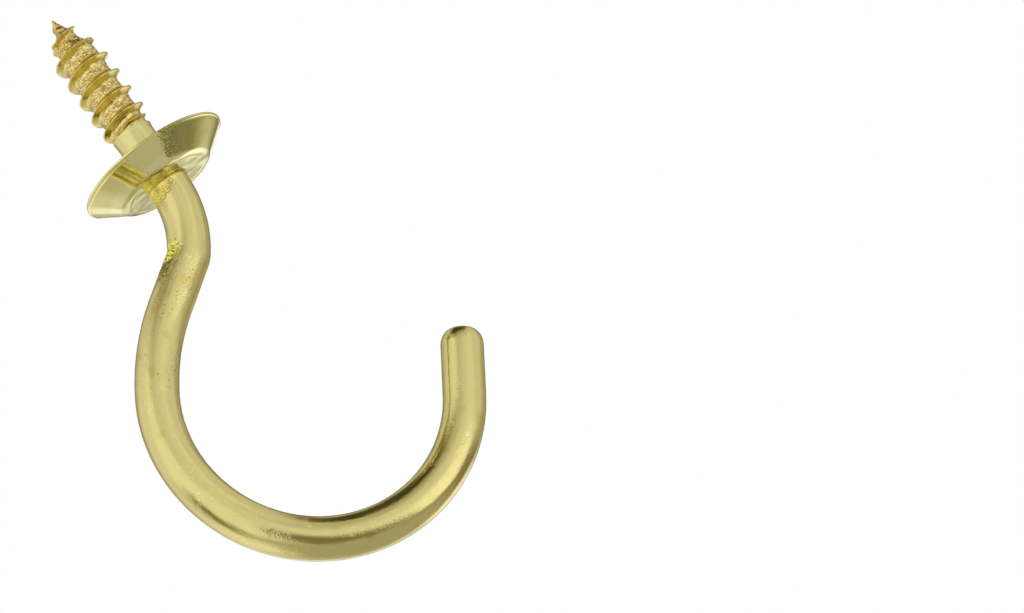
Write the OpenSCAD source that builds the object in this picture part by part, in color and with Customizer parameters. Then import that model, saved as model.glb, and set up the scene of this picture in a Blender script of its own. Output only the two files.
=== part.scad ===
// Shouldered cup hook.
//
// One length of wire makes the round hook, the shank and the gimlet-pointed
// screw. A pressed sheet flange sits on the shank, against the shoulder where
// the wire is drawn down.
//
// The origin is the centre of the flange's seating plane, the surface that the
// hook is screwed up against. +Z runs up the screw to its point, the hook hangs
// below in the XZ plane, and its mouth opens towards +X.

/* [Wire] */
// Diameter of the hook's wire
wire_d = 3.2; // [2.6:0.1:3.9]
// Diameter of the smooth shank that carries the flange
shank_d = 3.1; // [2.8:0.05:3.15]

/* [Round hook] */
// Inside diameter of the round hook
hook_inner_d = 19; // [17.4:0.1:23]
// Angle below the horizontal at which the round hook ends
open_angle = 33; // [10:1:50]
// Straight wire from the round hook to the end
tip_len = 5.3; // [3:0.1:9]
// Radius of the rounded edge of the wire's end
tip_round = 1.45; // [0.4:0.05:1.5]

/* [Neck] */
// Straight wire between the flange and the bend
neck_len = 0.2; // [0.1:0.1:3]
// Centre-line radius of the bend under the flange
bend_r = 9; // [6:0.2:9.4]
// Angle of that bend
bend_angle = 33; // [25:1:42]
// Centre-line radius of the tight kink that follows it
kink_r = 2.4; // [1.8:0.1:3.6]
// Angle of the straight leg above the horizontal
leg_angle = 38.5; // [37:0.5:44]
// Centre-line radius of the slack curve from the leg to the round hook
back_r = 18.5; // [14:0.5:19]
// Angle of that curve
back_angle = 20; // [15:1:25]

/* [Flange] */
// Outside diameter of the flange
rim_d = 11.9; // [10.4:0.2:14.4]
// Diameter of the flat face round the wire
face_d = 6.7; // [4.8:0.1:7.6]
// Height of the flange from its face to the seating plane
flange_h = 1.85; // [1.5:0.1:2.6]
// Thickness of the flange's sheet
sheet_t = 0.45; // [0.3:0.05:0.6]
// Outside radius of the fold between the face and the sloping wall
fold_r = 1; // [0.65:0.05:1.4]
// Radius of the rolled rim
rim_round = 0.1; // [0.05:0.01:0.15]

/* [Screw] */
// Length of the smooth shank above the seating plane
shank_len = 2.9; // [1:0.1:6]
// Length of the thread from the smooth shank to the point
thread_len = 10.9; // [7:0.1:20]
// Distance from one ridge to the next
pitch = 1.6; // [1.2:0.05:2]
// Diameter over the ridges
thread_d = 3.95; // [3.6:0.05:4.4]
// Diameter of the core between the ridges
core_d = 2.85; // [2.4:0.05:2.9]
// Length of the tapered gimlet point
point_len = 3.6; // [2.4:0.1:6]
// Width of a ridge along its crest
crest_w = 0.07; // [0.05:0.01:0.2]
// Slope of a ridge's sides from the square
flank_angle = 31; // [15:1:34]
// Run of the hollow fillet at each foot of a ridge
root_fillet = 0.26; // [0.05:0.01:0.4]

/* [Smoothness] */
// Sides of a full circle
$fn = 96; // [48:12:144]
// Steps in each rounded edge
edge_steps = 8; // [4:1:12]
// Columns of the thread in one turn
thread_steps = 32; // [24:4:48]

/* [Hidden] */

wire_r = wire_d / 2;
// Straight wire is a hair thinner than the bends that its ends are sunk in.
straight_r = wire_r - 0.01;
sunk = 0.1;
// Straight wire between two bends that follow each other
link_len = 0.2;
end_round = min(tip_round, 0.95 * straight_r);
shank_r = shank_d / 2;
hook_r = hook_inner_d / 2 + wire_r;

// The leg is as long as puts the centre of the round hook under the screw.
turn = 90 - leg_angle;
back_end = turn - back_angle;
hook_sweep = 180 + back_end - open_angle;
leg_len = (
    hook_r * cos(back_end)
    - back_r * (cos(back_end) - cos(turn))
    - link_len * (sin(bend_angle) + sin(back_end))
    - kink_r * (cos(bend_angle) - cos(turn))
    - bend_r * (1 - cos(bend_angle))
) / sin(turn);

// The wall of the flange is tangent to the fold and to the rolled rim.
fold_centre = [face_d / 2, fold_r - flange_h];
rim_centre = [rim_d / 2 - rim_round, -rim_round];
wall_run = rim_centre - fold_centre;
wall_out = atan2(wall_run[1], wall_run[0]) - acos((fold_r - rim_round) / norm(wall_run));
wall_normal = [cos(wall_out), sin(wall_out)];
wall_dir = [-wall_normal[1], wall_normal[0]];

// Screw: the first ridge starts at the end of the smooth shank, on the +X side.
// Rows of the mesh follow the ridge, two turns early, and are cut off level at
// the stub that is sunk in the shank. Past the point they all meet in the apex.
// The core always leaves a small step down from the shank.
core_r = min(core_d, 0.94 * shank_d) / 2;
ridge_h = thread_d / 2 - core_r;
half_valley = (pitch - crest_w) / 2;
flank_run = min(ridge_h * tan(flank_angle), 0.7 * half_valley);
fillet_run = min(root_fillet, 0.9 * (half_valley - flank_run));
point_z = shank_len + thread_len;
stub_z = shank_len - 0.4 * pitch;

// Half of the ridge's section, from its crest down: distance from its middle and
// share of its height
ridge_side = [
    [crest_w / 2, 1],
    [crest_w / 2 + 0.75 * flank_run, 0.25],
    [crest_w / 2 + flank_run + 0.1 * fillet_run, 0.07],
    [crest_w / 2 + flank_run + fillet_run, 0]
];
ridge = [
    for (i = [len(ridge_side) - 1:-1:0]) [-ridge_side[i][0], ridge_side[i][1]],
    for (p = ridge_side) p
];
rows_per_turn = len(ridge);
early_turns = 2;
mesh_turns = early_turns + ceil(thread_len / pitch) + 2;
rows = rows_per_turn * mesh_turns;
apex = thread_steps * (rows + 1);

function arc_points(centre, radius, from, to) = [
    for (i = [0:edge_steps])
        let (a = from + (to - from) * i / edge_steps) centre + radius * [cos(a), sin(a)]
];

function clamp01(x) = max(0, min(1, x));

// Height of the ridge's middle at one column, on the turn that holds a row
function ridge_mid(column, row) =
    shank_len + pitch * (column / thread_steps + floor(row / rows_per_turn) - early_turns);

function row_z(column, row) = ridge_mid(column, row) + ridge[row % rows_per_turn][0];

// The ridge swells from nothing over half a turn, and dies out along the point.
function ridge_size(mid) =
    ridge_h * clamp01(2 * (mid - shank_len) / pitch) * clamp01(2 * (point_z - mid) / point_len);

function row_r(column, row) =
    core_r * clamp01((point_z - row_z(column, row)) / point_len)
    + ridge_size(ridge_mid(column, row)) * ridge[row % rows_per_turn][1];

function ring_point(radius, column, z) =
    let (a = 360 * column / thread_steps) [radius * cos(a), radius * sin(a), z];

// The last column is the first one, a turn further up.
function vertex(column, row) =
    row_z(column, row) <= stub_z ? column % thread_steps
    : row_z(column, row) >= point_z ? apex
    : column == thread_steps ? vertex(0, row + rows_per_turn)
    : thread_steps + column * rows + row;

function is_triangle(f) = f[0] != f[1] && f[1] != f[2] && f[2] != f[0];

// Threaded core with its gimlet point
module screw_thread() {
    points = [
        for (c = [0:thread_steps - 1]) ring_point(core_r, c, stub_z),
        for (c = [0:thread_steps - 1]) for (r = [0:rows - 1]) ring_point(row_r(c, r), c, row_z(c, r)),
        [0, 0, point_z]
    ];
    walls = [
        for (c = [0:thread_steps - 1]) for (r = [0:rows - rows_per_turn - 2])
            let (a = vertex(c, r), b = vertex(c + 1, r), d = vertex(c, r + 1), e = vertex(c + 1, r + 1))
            for (f = [[a, d, e], [a, e, b]]) if (is_triangle(f)) f
    ];
    foot = [[for (c = [0:thread_steps - 1]) c]];
    polyhedron(points, concat(walls, foot), convexity = 10);
}

// The wire is drawn as it is bent: each module starts at its own origin, runs
// down, and puts what follows at its end.

// Straight wire, starting level with its origin or sunk in what it follows
module straight(length, above = sunk) {
    translate([0, 0, -length]) {
        translate([0, 0, -sunk]) cylinder(r = straight_r, h = length + sunk + above);
        children();
    }
}

// Wire bent about the Y axis, towards -X where angle is positive
module bent(radius, angle) {
    centre_x = -sign(angle) * radius;
    translate([centre_x, 0, 0]) {
        rotate([90, 0, 0])
            rotate_extrude(angle = abs(angle), start = angle > 0 ? -angle : 180)
                translate([radius, 0]) circle(r = wire_r);
        rotate([0, angle, 0]) translate([-centre_x, 0, 0]) children();
    }
}

// Straight wire that ends with a rounded edge
module rounded_end(length) {
    edge = arc_points([straight_r - end_round, end_round - length], end_round, 0, -90);
    rotate_extrude() polygon(concat([[0, sunk], [straight_r, sunk]], edge, [[0, -length]]));
}

// Round hook, leg, bend, neck, shoulder, shank and screw, all one wire
module hook() {
    color([0.80, 0.72, 0.38])
        union() {
            screw_thread();
            translate([0, 0, -flange_h]) {
                cylinder(r = shank_r, h = flange_h + shank_len);
                straight(neck_len, above = 0) bent(bend_r, bend_angle)
                    straight(link_len) bent(kink_r, turn - bend_angle)
                    straight(leg_len) bent(back_r, -back_angle)
                    straight(link_len) bent(hook_r, -hook_sweep)
                    rounded_end(tip_len);
            }
        }
}

// Pressed sheet flange, hollow towards the wood, bored to fit the shank
module flange() {
    bare_side = concat(
        [[shank_r, -flange_h]],
        arc_points(fold_centre, fold_r, -90, wall_out),
        arc_points(rim_centre, rim_round, wall_out, 90)
    );
    inner_fold = arc_points(fold_centre, fold_r - sheet_t, wall_out, -90);
    seat_edge = inner_fold[0] - inner_fold[0][1] / wall_dir[1] * wall_dir;
    wood_side = concat([seat_edge], inner_fold, [[shank_r, sheet_t - flange_h]]);
    color([0.78, 0.75, 0.50])
        rotate_extrude() polygon(concat(bare_side, wood_side));
}

hook();
flange();
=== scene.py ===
import math
from collections import namedtuple

import bpy
import numpy as np
from mathutils import Matrix, Vector, noise


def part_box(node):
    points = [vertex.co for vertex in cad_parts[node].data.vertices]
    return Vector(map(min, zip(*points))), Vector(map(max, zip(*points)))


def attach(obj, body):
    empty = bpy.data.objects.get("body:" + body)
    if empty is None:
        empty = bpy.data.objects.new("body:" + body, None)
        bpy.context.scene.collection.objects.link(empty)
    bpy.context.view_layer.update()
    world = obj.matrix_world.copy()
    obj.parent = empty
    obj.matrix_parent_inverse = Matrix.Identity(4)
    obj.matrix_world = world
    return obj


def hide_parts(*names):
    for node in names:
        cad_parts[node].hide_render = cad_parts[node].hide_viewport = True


bl_info = {
    "name": "Cup Hook",
    "version": (1, 0, 0),
    "blender": (4, 5, 0),
    "location": "View3D > Sidebar > Cup Hook",
    "description": "A shouldered cup hook of bent brass wire, its pressed flange, and a stage for it",
    "category": "Add Mesh",
}

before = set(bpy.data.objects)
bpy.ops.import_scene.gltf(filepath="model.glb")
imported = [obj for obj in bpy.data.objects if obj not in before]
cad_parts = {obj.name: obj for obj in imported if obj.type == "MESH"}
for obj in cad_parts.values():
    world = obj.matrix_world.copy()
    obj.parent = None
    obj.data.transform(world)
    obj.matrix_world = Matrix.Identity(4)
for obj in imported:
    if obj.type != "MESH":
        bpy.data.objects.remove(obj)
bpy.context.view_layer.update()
FLANGE_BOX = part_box("flange")
MM = 0.001


# ---------------------------------------------------------------- Settings


def length(name, description, default):
    """A size in metres, shown in the scene's own units."""
    return bpy.props.FloatProperty(
        name=name, description=description, default=default, min=0.0, unit="LENGTH", precision=5
    )


def offset(name, description, default):
    """A place in metres, on either side of zero."""
    return bpy.props.FloatProperty(name=name, description=description, default=default, unit="LENGTH")


def angle(name, description, degrees):
    """An angle, given in degrees and kept in radians."""
    return bpy.props.FloatProperty(
        name=name, description=description, default=math.radians(degrees), subtype="ANGLE"
    )


def factor(name, description, default):
    """A share from 0 to 1."""
    return bpy.props.FloatProperty(
        name=name, description=description, default=default, min=0.0, max=1.0, subtype="FACTOR"
    )


def colour(name, description, default):
    """A linear colour."""
    return bpy.props.FloatVectorProperty(
        name=name, description=description, default=default, min=0.0, max=1.0, size=3, subtype="COLOR"
    )


class CUPHOOK_wire_settings(bpy.types.PropertyGroup):
    wire_d: length("Wire", "Diameter of the hook's wire", 3.2 * MM)
    shank_d: length("Shank", "Diameter of the smooth shank that carries the flange", 3.1 * MM)
    neck_len: length("Neck", "Straight wire between the flange and the bend", 0.2 * MM)
    bend_r: length("Bend", "Centre-line radius of the bend under the flange", 9 * MM)
    bend_angle: angle("Bend angle", "Angle of that bend", 33)
    kink_r: length("Kink", "Centre-line radius of the tight kink that follows it", 2.4 * MM)
    leg_angle: angle("Leg", "Angle of the straight leg above the horizontal", 38.5)
    back_r: length("Back", "Centre-line radius of the slack curve from the leg to the round hook", 18.5 * MM)
    back_angle: angle("Back angle", "Angle of that curve", 20)
    link_len: length("Link", "Straight wire between two bends that follow each other", 0.2 * MM)
    hook_inner_d: length("Round hook", "Inside diameter of the round hook", 19 * MM)
    open_angle: angle("Opening", "Angle below the horizontal at which the round hook ends", 33)
    tip_len: length("Tip", "Straight wire from the round hook to the end", 5.2 * MM)
    tip_round: length("Tip edge", "Radius of the rounded edge of the wire's end", 1.45 * MM)
    collar: length("Collar", "Build-up of plating where the wire meets the flange's face", 0.14 * MM)
    crease: length("Crease", "Depth of the creases inside the kink", 0.3 * MM)


class CUPHOOK_screw_settings(bpy.types.PropertyGroup):
    shank_len: length("Shank length", "Smooth shank above the seating plane", 2.9 * MM)
    thread_len: length("Thread length", "Thread from the smooth shank to the point", 10.9 * MM)
    pitch: length("Pitch", "Distance from one ridge to the next", 1.6 * MM)
    thread_d: length("Thread", "Diameter over the ridges", 3.95 * MM)
    core_d: length("Core", "Diameter of the core between the ridges", 2.85 * MM)
    point_len: length("Point", "Length of the tapered gimlet point", 3.6 * MM)
    crest_w: length("Crest", "Width of a ridge along its crest", 0.07 * MM)
    flank_angle: angle("Flank", "Slope of a ridge's sides from the square", 31)
    root_fillet: length("Root fillet", "Run of the hollow fillet at each foot of a ridge", 0.26 * MM)
    pebble: length("Pebble", "Depth of the pebbled skin between the ridges", 0.055 * MM)
    ragged: length("Ragged", "Unevenness of the ridges, which grows towards the point", 0.1 * MM)
    run_out: length("Run-out", "Height of the half-formed ridge beside the smooth shank", 0.26 * MM)


class CUPHOOK_flange_settings(bpy.types.PropertyGroup):
    rim_d: length("Rim", "Outside diameter of the flange", FLANGE_BOX[1].x - FLANGE_BOX[0].x)
    height: length("Height", "From the flange's face to the seating plane", -FLANGE_BOX[0].z)
    face_d: length("Face", "Diameter of the flat face round the wire", 6.7 * MM)
    sheet_t: length("Sheet", "Thickness of the flange's sheet", 0.45 * MM)
    fold_r: length("Fold", "Outside radius of the fold between the face and the wall", 1 * MM)
    rim_round: length("Rim edge", "Radius of the rolled rim", 0.1 * MM)
    groove: length("Groove", "Depth of the fine grooves beside the rim and round the face", 0.03 * MM)
    dent: length("Dents", "Depth of the shallow dents in the face", 0.035 * MM)
    tilt: angle("Tilt", "How far askew the flange is pressed on the shank", 2.5)


class CUPHOOK_finish_settings(bpy.types.PropertyGroup):
    wire: colour("Wire", "Brass of the hook", (0.68, 0.59, 0.225))
    thread: colour("Thread", "Brass of the thread's flanks", (0.68, 0.55, 0.16))
    hollow: colour("Hollow", "Warmer brass between the thread's ridges", (0.68, 0.48, 0.11))
    shank: colour("Shank", "Paler brass of the smooth shank", (0.66, 0.59, 0.23))
    valley: colour("Valley", "Bright specks in the thread's valleys", (0.84, 0.72, 0.34))
    crest: colour("Crest", "Brass worn bright along the thread's crest", (0.78, 0.63, 0.22))
    # This golden brass is partly a painted reflection of the flange's face in the corner under the flange
    root: colour("Root", "Thick golden plating where the wire leaves the flange", (0.92, 0.77, 0.21))
    # This lemon brass also paints the glints along the edge of the flange's painted dark reflection
    kink: colour("Kink", "Lemon brass laid bare inside the kink", (0.86, 0.8, 0.16))
    sparkle: colour("Sparkle", "Bright pinpoints on the wire", (0.9, 0.82, 0.42))
    stain: colour("Stain", "Faint darker blotches on the wire", (0.56, 0.46, 0.13))
    soot: colour("Soot", "Dark specks and pits in the plating", (0.17, 0.13, 0.02))
    crease: colour("Crease", "Brown creases of the pebbled thread", (0.46, 0.3, 0.07))
    flange: colour("Flange", "Pale brass of the pressed flange", (0.79, 0.735, 0.3))
    # This paler brass is a painted highlight along the flange's fold
    fold: colour("Fold", "Brass rubbed pale along the flange's fold", (0.9, 0.85, 0.46))
    # This olive colour is a painted dark reflection: a mottled patch on one side of the flange's wall, and a
    # little over its face
    dark_reflection: colour("Tarnish", "Mottled olive tarnish on one side of the flange", (0.24, 0.22, 0.05))
    wire_roughness: factor("Wire roughness", "Roughness of the polished wire", 0.07)
    thread_roughness: factor("Thread roughness", "Roughness of the rolled thread", 0.2)
    flange_roughness: factor("Flange roughness", "Roughness of the pressed sheet", 0.06)
    root_len: length("Root length", "Reach of the golden plating down the wire", 0.45 * MM)
    # Where the painted dark reflection starts and ends, turning about the screw
    dark_reflection_start: angle("Tarnish start", "Where the tarnish starts, turning about the screw", -92)
    dark_reflection_end: angle("Tarnish end", "Where it ends", -56)


class CUPHOOK_stage_settings(bpy.types.PropertyGroup):
    floor: colour("Floor", "Pale floor under the hook", (0.85, 0.85, 0.85))
    floor_r: length("Floor radius", "Radius at which the floor has faded out", 280 * MM)
    drop: length("Drop", "Height of the seat of the flange above the floor", 265 * MM)
    yaw: angle("Yaw", "Turn of the camera about the upright", -22.68)
    pitch: angle("Pitch", "Tilt of the camera above the level", 12.17)
    roll: angle("Roll", "Turn of the camera about its own line of sight", 36.06)
    distance: length("Distance", "Camera to the seat of the flange, along the line of sight", 196.5 * MM)
    lens: bpy.props.FloatProperty(
        name="Lens",
        description="Focal length on a 36 mm sensor",
        default=94.0,
        min=1.0,
        subtype="DISTANCE_CAMERA",
    )
    across: offset("Across", "Seat's place to the right of the line of sight", -26.34 * MM)
    up: offset("Up", "Seat's place above the line of sight", 10.42 * MM)


# ---------------------------------------------------------------- Shader maths


class Value:
    """A socket or a number in an expression. Arithmetic on it adds Math nodes to its tree."""

    def __init__(self, tree, socket):
        self.tree = tree
        self.socket = socket

    def _math(self, operation, *operands):
        return self.tree.math(operation, *operands)

    def __add__(self, other):
        return self._math("ADD", self, other)

    def __sub__(self, other):
        return self._math("SUBTRACT", self, other)

    def __rsub__(self, other):
        return self._math("SUBTRACT", other, self)

    def __mul__(self, other):
        return self._math("MULTIPLY", self, other)

    def __truediv__(self, other):
        return self._math("DIVIDE", self, other)

    def __pow__(self, other):
        return self._math("POWER", self, other)

    __radd__ = __add__
    __rmul__ = __mul__

    def clamped(self):
        """The value kept between 0 and 1."""
        return self._math("MINIMUM", self._math("MAXIMUM", self, 0.0), 1.0)

    def band(self, low, high):
        """0 below low, 1 above high, and smooth between them."""
        settings = {"interpolation_type": "SMOOTHSTEP"}
        inputs = {"Value": self, "From Min": low, "From Max": high}
        return self.tree.add("ShaderNodeMapRange", settings, inputs)

    def stretch(self, origin, rise, fall):
        """1 on a stretch and 0 off it. Each soft end runs between two distances from the origin, in mm."""
        start, end = (self.band(origin + near * MM, origin + far * MM) for near, far in (rise, fall))
        return start * (1 - end)


class Tree:
    """A node tree that expressions add to."""

    def __init__(self, nodes_owner):
        nodes_owner.use_nodes = True
        self.nodes = nodes_owner.node_tree.nodes
        self.links = nodes_owner.node_tree.links
        self.nodes.clear()

    def add(self, kind, settings=None, inputs=None, output=0):
        """Adds a node, sets it up, fills its sockets, and returns one output as a Value."""
        node = self.nodes.new(kind)
        for name, value in (settings or {}).items():
            setattr(node, name, value)
        for name, value in (inputs or {}).items():
            if isinstance(value, Value):
                self.links.new(value.socket, node.inputs[name])
            else:
                node.inputs[name].default_value = value
        return Value(self, node.outputs[output]) if node.outputs else node

    def math(self, operation, *operands):
        """The result of one Math node."""
        return self.add("ShaderNodeMath", {"operation": operation}, dict(enumerate(operands)))

    def mix(self, share, low, high):
        """A colour between low and high, each of which is a Value or three numbers."""
        first, second = (c if isinstance(c, Value) else (*c, 1.0) for c in (low, high))
        inputs = {0: share, 6: first, 7: second}
        return self.add("ShaderNodeMix", {"data_type": "RGBA"}, inputs, output=2)

    def attribute(self, name, output="Vector"):
        """A mesh attribute."""
        return self.add("ShaderNodeAttribute", {"attribute_name": name}, None, output)

    def axis(self, vector, index):
        """One part of a vector: 0, 1 or 2."""
        return self.add("ShaderNodeSeparateXYZ", None, {"Vector": vector}, index)

    def noise(self, place, size, detail=3.0, roughness=0.5, stretch=(1.0, 1.0, 1.0)):
        """Noise from 0 to 1 whose features are about one size, in metres, across."""
        scale = tuple(s / size for s in stretch)
        scaled = self.add("ShaderNodeVectorMath", {"operation": "MULTIPLY"}, {0: place, 1: scale})
        inputs = {"Vector": scaled, "Scale": 1.0, "Detail": detail, "Roughness": roughness}
        return self.add("ShaderNodeTexNoise", None, inputs)

    def bump(self, height, depth, normal=None):
        """A normal from a height of 0 to 1 that stands for a depth in metres."""
        inputs = {"Height": height, "Distance": depth, "Strength": 1.0}
        if normal is not None:
            inputs["Normal"] = normal
        return self.add("ShaderNodeBump", None, inputs)


# ---------------------------------------------------------------- Shapes


def clamp01(value):
    return np.clip(value, 0.0, 1.0)


def arc_points(centre, radius, start, end, steps):
    """Points on an arc in a section, from one angle to another, in radians."""
    angles = np.linspace(start, end, steps + 1)
    return [(centre[0] + radius * math.cos(a), centre[1] + radius * math.sin(a)) for a in angles]


def bell(distance, width):
    """A bell curve that is 1 in the middle and 0.37 at one width from it."""
    return np.exp(-((distance / width) ** 2))


def rough(points, size, seed):
    """Noise from about -1 to 1 at each point, with features of one size."""
    shift = Vector((seed, 2.0 * seed, 3.0 * seed))
    values = [noise.noise(Vector(p) / size + shift) for p in points.reshape(-1, 3)]
    return np.array(values).reshape(points.shape[:-1])


def pebbles(points, size):
    """Rounded cells of one size, from 0 in the creases between them to 1 on their tops."""
    nearest = [noise.voronoi(Vector(p) / size)[0] for p in points.reshape(-1, 3)]
    tops = clamp01(2.5 * np.array([two[1] - two[0] for two in nearest]))
    return tops.reshape(points.shape[:-1])


def add_object(name, mesh):
    """A new object in the scene, with its mesh."""
    piece = bpy.data.objects.new(name, mesh)
    bpy.context.scene.collection.objects.link(piece)
    return piece


def closed_mesh(name, rings, ends):
    """A mesh skinned over rings of points, from the first end point to the second."""
    count, sides = rings.shape[:2]
    points = np.concatenate([rings.reshape(-1, 3), np.array(ends)])
    here = np.arange(count * sides).reshape(count, sides)
    beside = np.roll(here, -1, axis=1)
    quads = np.stack([here[:-1], beside[:-1], beside[1:], here[1:]], axis=-1).reshape(-1, 4)
    first, last = count * sides, count * sides + 1
    fans = [(first, b, a) for a, b in zip(here[0], beside[0])]
    fans += [(last, a, b) for a, b in zip(here[-1], beside[-1])]
    mesh = bpy.data.meshes.new(name)
    mesh.from_pydata(points.tolist(), [], quads.tolist() + fans)
    mesh.shade_smooth()
    return add_object(name, mesh)


class Track:
    """The wire's centre line in the XZ plane, walked down from its start."""

    def __init__(self, top):
        self.at = np.array([0.0, top])
        self.side = np.array([1.0, 0.0])
        self.walked = 0.0
        self.kink = 0.0  # how far along the middle of the kink is
        self.stations = []

    def _mark(self, at, side, walked):
        self.stations.append((at[0], at[1], side[0], side[1], walked))

    def _turned(self, vector, angle_now):
        c, s = math.cos(angle_now), math.sin(angle_now)
        return np.array([vector[0] * c + vector[1] * s, vector[1] * c - vector[0] * s])

    def straight(self, run, step):
        """Walks straight on, marking a station at each step but not at the start."""
        along = np.array([self.side[1], -self.side[0]])
        count = max(1, math.ceil(run / step))
        for i in range(1, count + 1):
            self._mark(self.at + along * run * i / count, self.side, self.walked + run * i / count)
        self.at = self.at + along * run
        self.walked += run

    def bend(self, radius, turn, step):
        """Walks round a bend, towards -X where the turn is positive."""
        centre = self.at - math.copysign(radius, turn) * self.side
        run = radius * abs(turn)
        count = max(1, math.ceil(run / step))
        for i in range(1, count + 1):
            at = centre + self._turned(self.at - centre, turn * i / count)
            self._mark(at, self._turned(self.side, turn * i / count), self.walked + run * i / count)
        self.at = centre + self._turned(self.at - centre, turn)
        self.side = self._turned(self.side, turn)
        self.walked += run


# ---------------------------------------------------------------- Hook

SIDES = 128
ROW = 0.028 * MM  # between the rows of the thread
STEP = 0.3 * MM
FINE_STEP = 0.07 * MM
TIP_STEP = 0.05 * MM
PAST_THREAD = 0.2 * MM  # how far the thread's close rows run on down the smooth shank
PAST_KINK = 1 * MM  # how far the kink's fine steps run on down the leg
SHOULDER = 0.002 * MM  # the step from the shank to the wire, which is nearly square

# Thread. The wear and the extra roughness grow over the last stretch of the screw, towards its point.
RIDGE_SIDE = (1.0, 0.62, 0.2, 0.07, 0.0)  # height of a ridge's hollow side, from its crest to its foot
WEAR_REACH, WEAR_RUN, LEAST_WEAR = 5.5 * MM, 6 * MM, 0.15
ROUGH_REACH, ROUGH_RUN = 4.5 * MM, 3 * MM
FLARE, FLARE_WIDTH = 0.05 * MM, 0.3 * MM
HALF_FORMED_WIDTH = 0.24 * MM
HALF_FORMED_RISE, HALF_FORMED_END, HALF_FORMED_FALL = 2.2, 5.0, 1.6  # radians round the screw
PEBBLE_SIZE = 0.29 * MM

# Wire
INNER_TURN = math.radians(30)  # from the kink's inmost line to its rubbed side, towards the front
INNER_WIDTH = 0.4  # radians round the wire
CREASE_START, CREASE_WIDTH, CREASE_SIZE = 0.5 * MM, 1.3 * MM, 0.24 * MM
COLLAR_WIDTH = 0.18 * MM
TIP_CURVE = 2.4  # 2 would round the wire's end as an arc, more makes it squarer


def hook_track(wire, screw, flange):
    """The whole wire from the screw's point to its rounded end, as a walked track."""
    hook_r = (wire.hook_inner_d + wire.wire_d) / 2
    turn = math.pi / 2 - wire.leg_angle
    back_end = turn - wire.back_angle
    bent, turned, hooked = math.cos(wire.bend_angle), math.cos(turn), math.cos(back_end)
    leg_across = (
        hook_r * hooked
        - wire.back_r * (hooked - turned)
        - wire.link_len * (math.sin(wire.bend_angle) + math.sin(back_end))
        - wire.kink_r * (bent - turned)
        - wire.bend_r * (1 - bent)
    )
    track = Track(screw.shank_len + screw.thread_len)
    track.straight(screw.thread_len + PAST_THREAD, ROW)
    track.straight(screw.shank_len + flange.height - PAST_THREAD, STEP)
    track.straight(SHOULDER, STEP)
    track.straight(wire.neck_len, STEP)
    track.bend(wire.bend_r, wire.bend_angle, STEP)
    track.straight(wire.link_len, FINE_STEP)
    track.kink = track.walked + wire.kink_r * (turn - wire.bend_angle) / 2
    track.bend(wire.kink_r, turn - wire.bend_angle, FINE_STEP)
    track.straight(PAST_KINK, FINE_STEP)
    track.straight(leg_across / math.sin(turn) - PAST_KINK, STEP)
    track.bend(wire.back_r, -wire.back_angle, STEP)
    track.straight(wire.link_len, STEP)
    track.bend(hook_r, wire.open_angle - back_end - math.pi, STEP)
    track.straight(wire.tip_len - wire.tip_round, STEP)
    track.straight(wire.tip_round, TIP_STEP)
    return track


def ridge_height(screw, heights, angles, uneven):
    """Height of the ridge over the core, and its share of the full height, at each row and column."""
    full = (screw.thread_d - screw.core_d) / 2
    flank = full * math.tan(screw.flank_angle)
    top = screw.shank_len + screw.thread_len
    turns = angles[None, :] / (2 * math.pi)
    rows = heights[:, None]
    middle = np.round((rows - screw.shank_len) / screw.pitch - turns)
    ridge_z = screw.shank_len + (middle + turns) * screw.pitch
    worn = screw.ragged * clamp01(LEAST_WEAR + (rows - top + WEAR_REACH) / WEAR_RUN) * uneven
    away = np.abs(rows + worn - ridge_z)
    swell = clamp01(2 * (ridge_z - screw.shank_len) / screw.pitch)
    fade = clamp01(2 * (top - ridge_z) / screw.point_len)
    crest, fillet = screw.crest_w / 2, screw.root_fillet
    foot = crest + flank
    runs = (crest, crest + 0.3 * flank, crest + 0.75 * flank, foot + 0.1 * fillet, foot + fillet)
    share = np.interp(away, runs, RIDGE_SIDE)
    return (full + 1.5 * worn) * swell * fade * share, share


def run_out_height(screw, heights, angles):
    """Height of the half-formed ridge, about half a pitch off the full one, for less than a turn."""
    way = np.mod(angles - math.pi, 2 * math.pi)[None, :]
    middle = screw.shank_len + screw.pitch * (0.02 + way / (2 * math.pi) * 0.9)
    swell = clamp01(way / HALF_FORMED_RISE) * clamp01((HALF_FORMED_END - way) / HALF_FORMED_FALL)
    away = np.abs(heights[:, None] - middle)
    return screw.run_out * swell * clamp01(1 - away / HALF_FORMED_WIDTH) ** 1.4


def wire_radius(wire, screw, flange, stations, angles):
    """Radius of the plain wire at each station, with its drawn-down shank, core, point and rounded end."""
    along = stations[:, 4]
    top = screw.shank_len + screw.thread_len
    heights = top - along
    end = along[-1] - along
    wire_r = wire.wire_d / 2
    flare = FLARE * bell(heights - screw.shank_len, FLARE_WIDTH)
    collar = wire.collar * bell(heights + flange.height, COLLAR_WIDTH)
    past_shoulder = heights < -flange.height - 0.75 * SHOULDER
    base = np.where(past_shoulder, wire_r + collar, wire.shank_d / 2 + flare)
    core = screw.core_d / 2 * clamp01((top - heights) / screw.point_len)
    base = np.where(heights > screw.shank_len, core, base)
    inset = np.maximum(wire.tip_round - end, 0)
    rounded = np.maximum(wire.tip_round**TIP_CURVE - inset**TIP_CURVE, 0) ** (1 / TIP_CURVE)
    rounded = wire_r - wire.tip_round + rounded
    base = np.where(end < wire.tip_round, rounded, base)
    return np.repeat(base[:, None], len(angles), axis=1)


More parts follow.
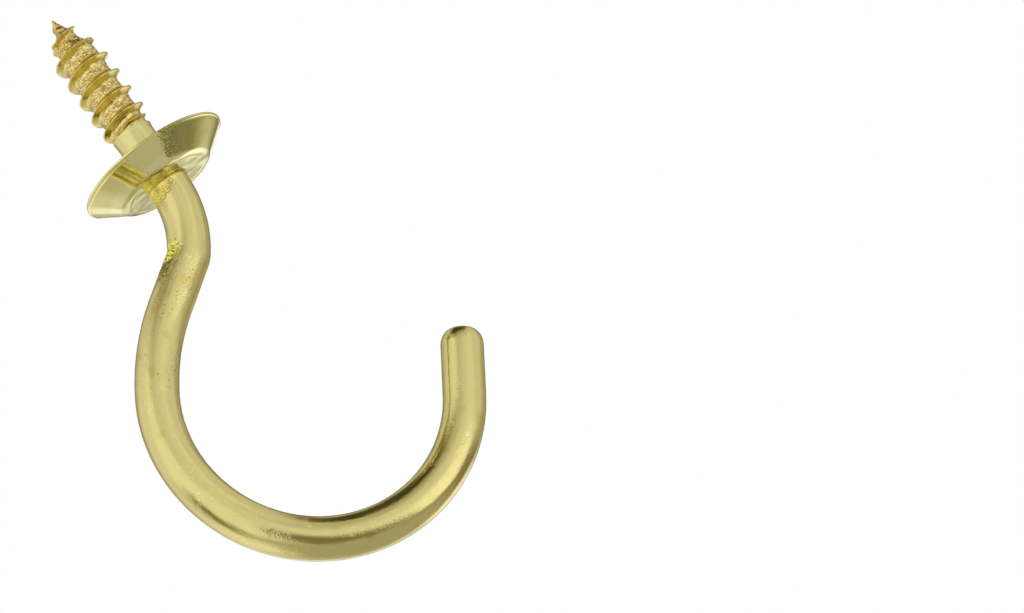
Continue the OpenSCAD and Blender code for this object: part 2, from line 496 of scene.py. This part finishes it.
def build_hook(track, wire, screw, flange):
    """The wire as one closed skin over rings square to its centre line."""
    stations = np.array(track.stations)
    angles = np.arange(SIDES) * 2 * math.pi / SIDES
    radius = wire_radius(wire, screw, flange, stations, angles)
    along = np.repeat(stations[:, 4][:, None], SIDES, axis=1)
    unbent = np.stack([radius * np.cos(angles), radius * np.sin(angles), along], axis=-1)

    # Thread: the rows above the smooth shank
    heights = screw.shank_len + screw.thread_len - stations[:, 4]
    rows = int(np.count_nonzero(heights > screw.shank_len))
    skin = unbent[:rows]
    uneven = rough(skin, 0.45 * MM, 11.0) + 0.5 * rough(skin, 0.2 * MM, 17.0)
    ridge, share = ridge_height(screw, heights[:rows], angles, uneven)
    half_formed = run_out_height(screw, heights[:rows], angles)
    relief = np.maximum(share, half_formed / screw.run_out)
    valley = clamp01(1 - 6 * relief)
    cells = pebbles(skin, PEBBLE_SIZE)
    radius[:rows] += np.maximum(ridge, half_formed)
    radius[:rows] += screw.pebble * (0.12 + 0.88 * valley) * (cells - 0.5 + 0.5 * uneven)
    near_point = clamp01((heights[:rows, None] - heights[0] + ROUGH_REACH) / ROUGH_RUN)
    radius[:rows] += 1.6 * screw.ragged * near_point * rough(skin, 0.4 * MM, 41.0)

    # Creases pressed into the inside of the kink
    inside = bell(angles - math.pi - INNER_TURN, INNER_WIDTH)[None, :]
    marked = bell(along - track.kink - CREASE_START, CREASE_WIDTH) * inside
    touched = marked > 0.02
    creases = np.zeros(marked.shape)
    creases[touched] = rough(unbent[touched], CREASE_SIZE, 23.0)
    radius += wire.crease * marked * (creases - 0.35)

    side = np.stack([stations[:, 2], np.zeros(len(stations)), stations[:, 3]], axis=-1)
    centre = np.stack([stations[:, 0], np.zeros(len(stations)), stations[:, 1]], axis=-1)
    across = np.cos(angles)[None, :, None] * side[:, None, :]
    across = across + np.sin(angles)[None, :, None] * np.array([0.0, 1.0, 0.0])
    rings = centre[:, None, :] + radius[:, :, None] * across
    point = np.array([0.0, 0.0, screw.shank_len + screw.thread_len])
    piece = closed_mesh("cup_hook_wire", rings, [point, centre[-1]])

    # Where each point is on the straight wire before bending, how far it is up a ridge of the thread,
    # and how deep it lies between the pebbles
    ends = np.array([[0.0, 0.0, 0.0], [0.0, 0.0, stations[-1, 4]]])
    place = np.concatenate([unbent.reshape(-1, 3), ends])
    piece.data.attributes.new("place", "FLOAT_VECTOR", "POINT").data.foreach_set("vector", place.reshape(-1))
    for name, values in (("relief", relief), ("crease", (1 - cells) * valley)):
        spread = np.zeros(len(place))
        spread[: rows * SIDES] = values.reshape(-1)
        piece.data.attributes.new(name, "FLOAT", "POINT").data.foreach_set("value", spread)
    return piece


# ---------------------------------------------------------------- Flange

BITE = 0.05 * MM  # how far the flange's bore reaches into the shank, so that no gap shows
TURNS = 192
ARC_STEPS, FACE_STEPS, WALL_STEPS = 24, 50, 64
FACE_GROOVE = (0.2 * MM, 0.06 * MM)  # distance in from the fold, and width
RIM_GROOVE = (0.14 * MM, 0.05 * MM)  # distance from the rolled rim, and width
DENT_SIZE = 1.0 * MM


def flange_section(flange, bore_r):
    """Outline of the flange's half section, as (radius, height) points from the bore round to the bore."""
    fold_centre = (flange.face_d / 2, flange.fold_r - flange.height)
    rim_centre = (flange.rim_d / 2 - flange.rim_round, -flange.rim_round)
    run = (rim_centre[0] - fold_centre[0], rim_centre[1] - fold_centre[1])
    rounding = math.acos((flange.fold_r - flange.rim_round) / math.hypot(*run))
    wall_out = math.atan2(run[1], run[0]) - rounding
    outside = arc_points(fold_centre, flange.fold_r, -math.pi / 2, wall_out, ARC_STEPS)
    rim = arc_points(rim_centre, flange.rim_round, wall_out, math.pi / 2, ARC_STEPS)
    inside = arc_points(fold_centre, flange.fold_r - flange.sheet_t, wall_out, -math.pi / 2, ARC_STEPS)
    slope = (-math.sin(wall_out), math.cos(wall_out))
    foot = inside[0]
    seat = (foot[0] - foot[1] / slope[1] * slope[0], 0.0)

    # The face runs out to the fold and the wall down to the rim, each with its groove
    from_fold, width = FACE_GROOVE
    face_r = np.linspace(bore_r, fold_centre[0], FACE_STEPS)[:-1]
    groove = 0.5 * flange.groove * bell(face_r - fold_centre[0] + from_fold, width)
    face = list(zip(face_r, groove - flange.height))
    from_rim, width = RIM_GROOVE
    wall_top, down = np.array(outside[-1]), np.array(rim[0]) - outside[-1]
    out = np.array((math.cos(wall_out), math.sin(wall_out)))
    wall = []
    for share in np.linspace(0, 1, WALL_STEPS)[1:-1]:
        left = (1 - share) * math.hypot(*down)
        depth = flange.groove * bell(left - from_rim, width)
        wall.append(tuple(wall_top + down * share - out * depth))
    return face + outside + wall + rim + [seat] + inside + [(bore_r, flange.sheet_t - flange.height)]


def build_flange(flange, bore_r):
    """The pressed disc as one closed skin, its section swept round the screw's axis."""
    section = np.array(flange_section(flange, bore_r))
    angles = np.arange(TURNS) * 2 * math.pi / TURNS
    points = np.stack(
        [
            section[None, :, 0] * np.cos(angles)[:, None],
            section[None, :, 0] * np.sin(angles)[:, None],
            np.repeat(section[None, :, 1], TURNS, axis=0),
        ],
        axis=-1,
    )
    count, sides = points.shape[:2]

    # Dents are on the outside of the face, and fade out towards the bore and the fold
    on_face = clamp01((0.2 * MM - section[:, 1] - flange.height) / (0.15 * MM))
    on_face = on_face * clamp01((section[:, 0] - bore_r) / (0.3 * MM))
    points[:, :, 2] += flange.dent * on_face * rough(points, DENT_SIZE, 31.0)
    points = points @ np.array(Matrix.Rotation(flange.tilt, 3, "Y"))
    here = np.arange(count * sides).reshape(count, sides)
    below, beside = np.roll(here, -1, axis=0), np.roll(here, -1, axis=1)
    corner = np.roll(below, -1, axis=1)
    quads = np.stack([here, below, corner, beside], axis=-1).reshape(-1, 4)
    mesh = bpy.data.meshes.new("cup_hook_flange")
    mesh.from_pydata(points.reshape(-1, 3).tolist(), [], quads.tolist())
    mesh.shade_smooth()
    mesh.set_sharp_from_angle(angle=math.radians(40))
    return add_object("cup_hook_flange", mesh)


# ---------------------------------------------------------------- Materials


def metal(tree, base, roughness, normal):
    """A metal shader with its output."""
    inputs = {"Base Color": base, "Metallic": 1.0, "Roughness": roughness, "Normal": normal}
    shader = tree.add("ShaderNodeBsdfPrincipled", None, inputs)
    tree.add("ShaderNodeOutputMaterial", None, {"Surface": shader})


Grain = namedtuple("Grain", "broad fine pinpoint specks blotches streaks")
Zones = namedtuple("Zones", "threaded point shank root creased pitted lines clustered")


def wire_grain(tree, place):
    """The noises that the wire's finishes share."""
    return Grain(
        broad=tree.noise(place, 0.9 * MM),
        fine=tree.noise(place, 0.16 * MM, detail=4.0),
        pinpoint=tree.noise(place, 0.15 * MM, detail=2.0, roughness=0.6),
        specks=tree.noise(place, 0.2 * MM, detail=2.0, roughness=0.7).band(0.54, 0.62),
        blotches=tree.noise(place, 1.5 * MM, detail=2.0, stretch=(1.0, 1.0, 0.7)),
        streaks=tree.noise(place, 0.7 * MM, detail=2.0, stretch=(1.0, 1.0, 0.2)).band(0.46, 0.66),
    )


def wire_zones(tree, place, grain, finish, screw, flange, track):
    """Where each finish lies on the wire, as masks from 0 to 1, the worn ones with ragged ends."""
    side, back, along = (tree.axis(place, i) for i in range(3))
    face = screw.thread_len + screw.shank_len + flange.height
    soft = 0.05 * MM
    above_face = 1 - along.band(face - soft, face)

    # Thick plating under the flange, painted golden as the reflection of the flange's face in the corner
    edge = along + (grain.broad - 0.5) * (1.2 * MM) + (grain.fine - 0.5) * (1.6 * MM) + side * 0.7
    reach = face + finish.root_len
    root = (1 - above_face) * (1 - edge.band(reach - 0.3 * MM, reach + 0.3 * MM))

    # Creases, and pits below them, on the inside of the kink
    inward = side * -math.cos(INNER_TURN) + back * -math.sin(INNER_TURN)
    inside = inward.band(1.38 * MM, 1.52 * MM)
    ragged = along + (grain.fine - 0.5) * (1.4 * MM) + side * 0.5
    creased = inside * ragged.stretch(track.kink, (-1.8, -1.2), (0.6, 0.8))
    pitted = inside * ragged.stretch(track.kink, (0.6, 0.8), (1.4, 3.4))

    # Clusters of bright grains: in blotches, in lines along the leg and round the end
    rubbed = along.stretch(track.kink, (0.5, 1.5), (8, 15))
    lines = tree.noise(place, 0.55 * MM, detail=2.0, stretch=(1.0, 1.0, 0.15)).band(0.54, 0.6)
    lines = rubbed * lines
    near_end = along.stretch(track.walked, (-1.4, -0.9), (-0.5, -0.3))
    clustered = tree.math("MAXIMUM", grain.blotches.band(0.54, 0.62) * (1 - above_face), near_end)

    return Zones(
        threaded=1 - along.band(screw.thread_len - soft, screw.thread_len),
        point=1 - along.band(0.6 * MM, 3.4 * MM),
        shank=above_face,
        root=root,
        creased=creased,
        pitted=pitted,
        lines=lines,
        clustered=tree.math("MAXIMUM", clustered, lines),
    )


def thread_tint(tree, relief, valley, grain, zones, finish):
    """Warm, speckled brass between the thread's ridges, worn bright on their crests."""
    tint = tree.mix(grain.fine.band(0.42, 0.58), finish.hollow, finish.valley)
    tint = tree.mix(valley, finish.thread, tint)
    tint = tree.mix(tree.attribute("crease", "Fac").band(0.45, 1.0), tint, finish.crease)
    tint = tree.mix(relief.band(0.75, 0.95), tint, finish.crest)
    return tree.mix(zones.point * 0.3, tint, finish.crease)


def wire_tint(tree, grain, zones, thread, finish):
    """The wire's brass, from its broad stains down to its pinpoints."""
    tint = tree.mix(grain.broad, finish.wire, tuple(c * 0.93 for c in finish.wire))
    tint = tree.mix((1 - grain.blotches.band(0.3, 0.4)) * 0.6, tint, finish.stain)
    tint = tree.mix(zones.shank, tint, finish.shank)
    tint = tree.mix(zones.creased * 0.9, tint, finish.kink)
    # Golden brass under the flange: thick plating, and a painted reflection of the flange's face
    tint = tree.mix(zones.root, tint, finish.root)
    tint = tree.mix(zones.threaded, tint, thread)
    dark = grain.specks * (zones.root * 0.4 + zones.creased + zones.pitted).clamped()
    dark = dark + zones.pitted * grain.fine.band(0.38, 0.52) * 0.8
    tint = tree.mix(dark.clamped(), tint, finish.soot)
    tint = tree.mix(grain.pinpoint.band(0.635, 0.68) * zones.clustered, tint, finish.sparkle)
    flecks = (1 - grain.pinpoint.band(0.3, 0.35)) * zones.clustered * grain.streaks
    tint = tree.mix(flecks * 0.6, tint, finish.stain)
    return tree.mix((1 - grain.pinpoint.band(0.35, 0.4)) * zones.lines * 0.7, tint, finish.soot)


def wire_material(finish, screw, flange, track):
    """Polished brass wire with an orange-peel skin, a warmer thread and thick plating under the flange,
    painted golden as the reflection of the flange's face.
    """
    material = bpy.data.materials.new("wire_brass")
    tree = Tree(material)
    place = tree.attribute("place")
    relief = tree.attribute("relief", "Fac")
    valley = 1 - relief.band(0.0, 0.16)
    grain = wire_grain(tree, place)
    zones = wire_zones(tree, place, grain, finish, screw, flange, track)
    thread = thread_tint(tree, relief, valley, grain, zones, finish)
    tint = wire_tint(tree, grain, zones, thread, finish)

    gloss = grain.fine * 0.06 + (finish.wire_roughness - 0.03)
    gloss = gloss + zones.threaded * (finish.thread_roughness - finish.wire_roughness)
    gloss = gloss + zones.root * 0.22 + zones.pitted * 0.45

    # Depths of the skin in millimetres, which the bump's distance turns into metres
    depth = grain.streaks * 0.009 + (zones.creased + zones.pitted).clamped() * 0.06 + zones.root * 0.03
    depth = depth + zones.threaded * valley * 0.02 + zones.clustered * 0.012 + 0.005
    waves = tree.noise(place, 1.0 * MM, detail=1.0, stretch=(1.0, 1.0, 0.4)) * 0.011
    metal(tree, tint, gloss, tree.bump(grain.pinpoint * depth + waves, MM))
    return material


def flange_material(finish, flange):
    """Pale pressed brass, nearly a mirror, with a mottled olive painted dark reflection on one side of its
    wall and a painted highlight along its fold.
    """
    material = bpy.data.materials.new("flange_brass")
    tree = Tree(material)
    place = tree.add("ShaderNodeTexCoord", None, None, "Object")
    x, y, z = (tree.axis(place, i) for i in range(3))
    broad, fine = tree.noise(place, 2.0 * MM), tree.noise(place, 0.15 * MM, detail=3.0)

    # Heights are over the face as it is before the tilt, so these masks slant across the tilted disc
    height = z + flange.height
    on_face = 1 - height.band(0.01 * MM, 0.07 * MM)
    fold_highlight = height.stretch(0.0, (0.01, 0.15), (0.35, 0.65))

    # Painted dark reflection between two angles round the screw, with a fringe of painted glints where it
    # starts
    start, end = finish.dark_reflection_start, finish.dark_reflection_end
    turned = tree.math("ARCTAN2", y, x) + (fine - 0.5) * 0.3
    starting = turned.band(start - 0.03, start + 0.03)
    glint_fringe = starting * (1 - turned.band(start + 0.1, start + 0.2)) * 0.6
    dark_reflection_mask = starting * (1 - turned.band(start + 0.15, end)) * 0.95
    dark_reflection_mask = dark_reflection_mask * height.band(0.15 * MM, 0.35 * MM) * (fine.band(0.3, 0.6) * 0.45 + 0.55)

    tint = tree.mix(broad, finish.flange, tuple(c * 0.95 for c in finish.flange))
    # Painted highlight along the fold
    tint = tree.mix(fold_highlight * 0.5, tint, finish.fold)
    # Painted dark reflection on the wall, and a little of the same olive over the face as painted reflection
    # too
    tint = tree.mix((dark_reflection_mask + on_face * 0.28).clamped(), tint, finish.dark_reflection)
    # Painted glints in lemon brass along the fringe where the painted dark reflection starts
    painted_glints = tree.noise(place, 0.14 * MM, detail=2.0).band(0.58, 0.64)
    tint = tree.mix(painted_glints * glint_fringe, tint, finish.kink)
    gloss = fine * 0.05 + (finish.flange_roughness - 0.02) + dark_reflection_mask * 0.1
    peel = tree.noise(place, 0.16 * MM, detail=2.0) * (broad.band(0.45, 0.6) * 0.004 + dark_reflection_mask * 0.012)
    waves = tree.noise(place, 1.2 * MM, detail=1.0) * 0.015
    metal(tree, tint, gloss, tree.bump(peel + waves, MM))
    return material


# ---------------------------------------------------------------- Stage

SENSOR_WIDTH = 36.0  # in millimetres, which the lens is given for
FADE_START = 0.45  # share of the floor's radius at which it starts to fade


def camera_axes(stage):
    """The camera's right, forward and up directions."""
    yaw = Matrix.Rotation(stage.yaw, 3, "Z")
    pitch = Matrix.Rotation(stage.pitch, 3, "X")
    turn = yaw @ pitch @ Matrix.Rotation(stage.roll, 3, "Y")
    return turn.col[0], turn.col[1], turn.col[2]


def add_camera(stage):
    """A camera that sees the seat of the flange at its place beside the line of sight."""
    right, forward, up = camera_axes(stage)
    data = bpy.data.cameras.new("camera")
    data.lens, data.sensor_width = stage.lens, SENSOR_WIDTH
    data.clip_start = MM
    camera = bpy.data.objects.new("camera", data)
    camera.matrix_world = Matrix((right, up, -forward)).transposed().to_4x4()
    camera.location = -(right * stage.across + up * stage.up + forward * stage.distance)
    bpy.context.scene.collection.objects.link(camera)
    bpy.context.scene.camera = camera


Panel = namedtuple("Panel", "azimuth elevation half_width half_height lean level edge")

# Soft lights and dark flags round the hook, for the brass to reflect. Azimuth runs to the right from the
# camera's side, elevation up from the level, both in degrees, and a lean turns a panel clockwise.
# The room's level and the first 21 rows are not a design. They are the rounded output of a separate
# least-squares program, with two flags darkened since, and were named afterwards by where they came out.
# The last four rows and the backdrop were set one by one.
ROOM_LEVEL = 0.59
PANELS = {
    "window on the left": Panel(-43, 0, 51, 38, 18, 1.15, 0.23),
    "ceiling": Panel(101, 44, 117, 32, -3, 1.01, 0.44),
    "pale ground": Panel(-49, -79, 159, 28, 15, 1.16, 0.79),
    "flag above and behind": Panel(-121, 61, 66, 26, -7, 0.07, 0.51),
    "flag overhead": Panel(170, 80, 47, 34, 19, 0.08, 0.25),
    "dim wall behind": Panel(153, 3, 68, 32, -111, 0.46, 0.8),
    "bright slot": Panel(68, 3, 44, 15, 39, 1.37, 0.24),
    "flag on the right": Panel(99, -17, 45, 14, 1, 0.27, 0.38),
    "low lamp on the right": Panel(138, -25, 20, 13, -8, 1.42, 0.71),
    "flag in front": Panel(31, -16, 40, 16, 54, 0.26, 0.38),
    "flag low on the left": Panel(-43, -34, 21, 15, -23, 0.3, 0.67),
    "strip behind": Panel(178, 9, 5, 38, -1, 0.21, 0.62),
    "card above the camera": Panel(-4, 34, 8, 24, 80, 0.9, 0.46),
    "card behind on the left": Panel(-130, 26, 28, 19, -20, 0.76, 0.39),
    "table on the right": Panel(51, -37, 27, 23, 14, 0.61, 0.55),
    "beam overhead": Panel(41, 73, 9, 23, -149, 0.67, 0.79),
    "card above on the right": Panel(134, 56, 31, 18, 22, 0.81, 0.51),
    "window pane": Panel(-11, -1, 11, 36, 38, 1.09, 0.36),
    "window bar": Panel(89, -5, 9, 15, -47, 0.32, 0.62),
    "curtain": Panel(-91, -3, 25, 46, 20, 0.98, 0.57),
    "patch of ceiling": Panel(94, 40, 28, 22, 4, 0.87, 0.3),
    "dim surround of the backdrop": Panel(180, 7, 31, 22, 0, 0.2, 0.35),
    "flag behind on the left": Panel(-143, -4, 9, 34, 0, 0.4, 0.5),
    "card behind on the right": Panel(140, 22, 9, 14, 20, 0.55, 0.5),
    "card low behind": Panel(176, -37, 25, 10, 0, 1.1, 0.4),
}
BACKDROP = Panel(180, 0, 15, 11, 0, 1, 0.2)
DIM, BRIGHT = (1.12, 1.0, 0.62), (1.0, 1.0, 1.06)  # tints of the room's dark and bright parts
WHITE = (1.0, 1.0, 1.0)


def panel_mask(tree, azimuth, elevation, panel):
    """1 inside a panel and 0 outside it, with a soft edge."""
    across = tree.math("WRAP", azimuth - math.radians(panel.azimuth), math.pi, -math.pi)
    inputs = {
        "Vector": tree.add("ShaderNodeCombineXYZ", None, {"X": across, "Y": elevation}),
        "Location": (0.0, math.radians(panel.elevation), 0.0),
        "Rotation": (0.0, 0.0, -math.radians(panel.lean)),
        "Scale": (math.radians(panel.half_width), math.radians(panel.half_height), 1.0),
    }
    place = tree.add("ShaderNodeMapping", {"vector_type": "TEXTURE"}, inputs)
    away = tree.add("ShaderNodeVectorMath", {"operation": "LENGTH"}, {0: place}, "Value")
    return 1 - away.band(1 - panel.edge, 1 + panel.edge)


def set_room(stage):
    """A room that is white to the eye, while the metal reflects its lights and flags."""
    world = bpy.data.worlds.new("room")
    bpy.context.scene.world = world
    tree = Tree(world)
    way = tree.add("ShaderNodeTexCoord", None, None, "Generated")
    across, ahead, above = (
        tree.add("ShaderNodeVectorMath", {"operation": "DOT_PRODUCT"}, {0: way, 1: tuple(axis)}, "Value")
        for axis in camera_axes(stage)
    )
    azimuth = tree.math("ARCTAN2", across, ahead * -1)
    elevation = tree.math("ARCSINE", above)
    level = ROOM_LEVEL
    for panel in PANELS.values():
        level = level + (panel.level - level) * panel_mask(tree, azimuth, elevation, panel)
    eye, mirror, glass = (
        tree.add("ShaderNodeLightPath", None, None, name)
        for name in ("Is Camera Ray", "Is Glossy Ray", "Is Transmission Ray")
    )
    seen = (eye + glass + mirror * panel_mask(tree, azimuth, elevation, BACKDROP)).clamped()
    tint = tree.mix(seen, tree.mix(level.band(0.1, 0.9), DIM, BRIGHT), WHITE)
    strength = level + (1 - level) * seen
    background = tree.add("ShaderNodeBackground", None, {"Color": tint, "Strength": strength})
    tree.add("ShaderNodeOutputWorld", None, {"Surface": background})


def add_floor(stage):
    """A pale floor that fades out before it fills the view."""
    mesh = bpy.data.meshes.new("floor")
    r, z = stage.floor_r, -stage.drop
    mesh.from_pydata([(-r, -r, z), (r, -r, z), (r, r, z), (-r, r, z)], [], [(0, 1, 2, 3)])
    floor = add_object("floor", mesh)
    material = bpy.data.materials.new("pale_floor")
    tree = Tree(material)
    place = tree.add("ShaderNodeTexCoord", None, None, "Object")
    x, y = tree.axis(place, 0), tree.axis(place, 1)
    away = tree.math("SQRT", x * x + y * y)
    there = 1 - away.band(FADE_START * r, r)
    inputs = {"Base Color": (*stage.floor, 1.0), "Roughness": 0.9, "Alpha": there}
    shader = tree.add("ShaderNodeBsdfPrincipled", None, inputs)
    tree.add("ShaderNodeOutputMaterial", None, {"Surface": shader})
    mesh.materials.append(material)


# ---------------------------------------------------------------- Operators


class CUPHOOK_OT_hook(bpy.types.Operator):
    """Builds the wire hook with its screw"""

    bl_idname = "cuphook.hook"
    bl_label = "Hook"

    def execute(self, context):
        scene = context.scene
        wire, screw, flange = scene.cuphook_wire, scene.cuphook_screw, scene.cuphook_flange
        track = hook_track(wire, screw, flange)
        piece = build_hook(track, wire, screw, flange)
        piece.data.materials.append(wire_material(scene.cuphook_finish, screw, flange, track))
        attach(piece, "root")
        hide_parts("hook")
        return {"FINISHED"}


class CUPHOOK_OT_flange(bpy.types.Operator):
    """Builds the pressed flange"""

    bl_idname = "cuphook.flange"
    bl_label = "Flange"

    def execute(self, context):
        scene = context.scene
        flange = scene.cuphook_flange
        piece = build_flange(flange, scene.cuphook_wire.shank_d / 2 - BITE)
        piece.data.materials.append(flange_material(scene.cuphook_finish, flange))
        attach(piece, "root")
        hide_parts("flange")
        return {"FINISHED"}


class CUPHOOK_OT_stage(bpy.types.Operator):
    """Sets the camera, the room and the floor"""

    bl_idname = "cuphook.stage"
    bl_label = "Stage"

    def execute(self, context):
        add_camera(context.scene.cuphook_stage)
        set_room(context.scene.cuphook_stage)
        add_floor(context.scene.cuphook_stage)
        context.scene.view_settings.view_transform = "Standard"
        return {"FINISHED"}


class CUPHOOK_PT_panel(bpy.types.Panel):
    """Lists the hook's pieces and the stage"""

    bl_label = "Cup Hook"
    bl_space_type = "VIEW_3D"
    bl_region_type = "UI"
    bl_category = "Cup Hook"

    def draw(self, context):
        for operator in OPERATORS:
            self.layout.operator(operator.bl_idname)


SETTINGS = {
    "cuphook_wire": CUPHOOK_wire_settings,
    "cuphook_screw": CUPHOOK_screw_settings,
    "cuphook_flange": CUPHOOK_flange_settings,
    "cuphook_finish": CUPHOOK_finish_settings,
    "cuphook_stage": CUPHOOK_stage_settings,
}
OPERATORS = (CUPHOOK_OT_hook, CUPHOOK_OT_flange, CUPHOOK_OT_stage)


def register():
    for name, group in SETTINGS.items():
        bpy.utils.register_class(group)
        setattr(bpy.types.Scene, name, bpy.props.PointerProperty(type=group))
    for item in (*OPERATORS, CUPHOOK_PT_panel):
        bpy.utils.register_class(item)


def unregister():
    for item in (CUPHOOK_PT_panel, *reversed(OPERATORS)):
        bpy.utils.unregister_class(item)
    for name, group in reversed(SETTINGS.items()):
        delattr(bpy.types.Scene, name)
        bpy.utils.unregister_class(group)


def main():
    register()
    for operator in OPERATORS:
        group, name = operator.bl_idname.split(".")
        getattr(getattr(bpy.ops, group), name)()


if __name__ == "__main__":
    main()
